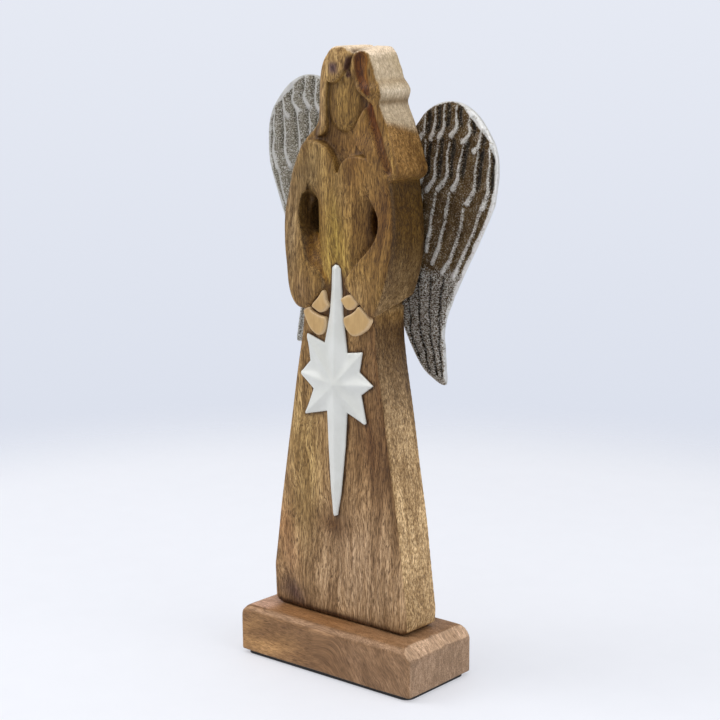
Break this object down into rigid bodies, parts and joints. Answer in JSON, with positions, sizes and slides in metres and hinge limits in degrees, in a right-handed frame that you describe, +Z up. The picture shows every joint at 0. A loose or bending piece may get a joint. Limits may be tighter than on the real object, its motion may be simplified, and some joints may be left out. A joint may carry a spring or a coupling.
{
  "type": "angel figurine",
  "caption": "Carved wooden robed figure with cast metal wings and an enamelled star, screwed to a bevelled wooden block.",
  "frame": {"origin": "middle of the pad's underside, on the shelf", "axes": "+Z up, +X to the viewer's right, the figure faces -Y"},
  "size_m": [0.1851, 0.065, 0.4],
  "materials": {
    "figure_wood": "satin, hand carved, grain upright",
    "base_wood": "satin, sanded",
    "pad": "matt",
    "wing_metal": "rough cast, dark patina with polished ridges",
    "star_enamel": "satin white enamel",
    "screw_steel": "zinc plated"
  },
  "bodies": {
    "root": {"body": "figure_wood", "base": "base_wood", "base_pad": "pad", "left_wing": "wing_metal", "right_wing": "wing_metal", "star": "star_enamel", "wing_screw_right_upper": "screw_steel", "wing_screw_right_lower": "screw_steel", "wing_screw_left_upper": "screw_steel", "wing_screw_left_lower": "screw_steel", "base_screw_left": "screw_steel", "base_screw_right": "screw_steel", "star_pin_upper": "screw_steel", "star_pin_lower": "screw_steel"}
  },
  "joints": []
}
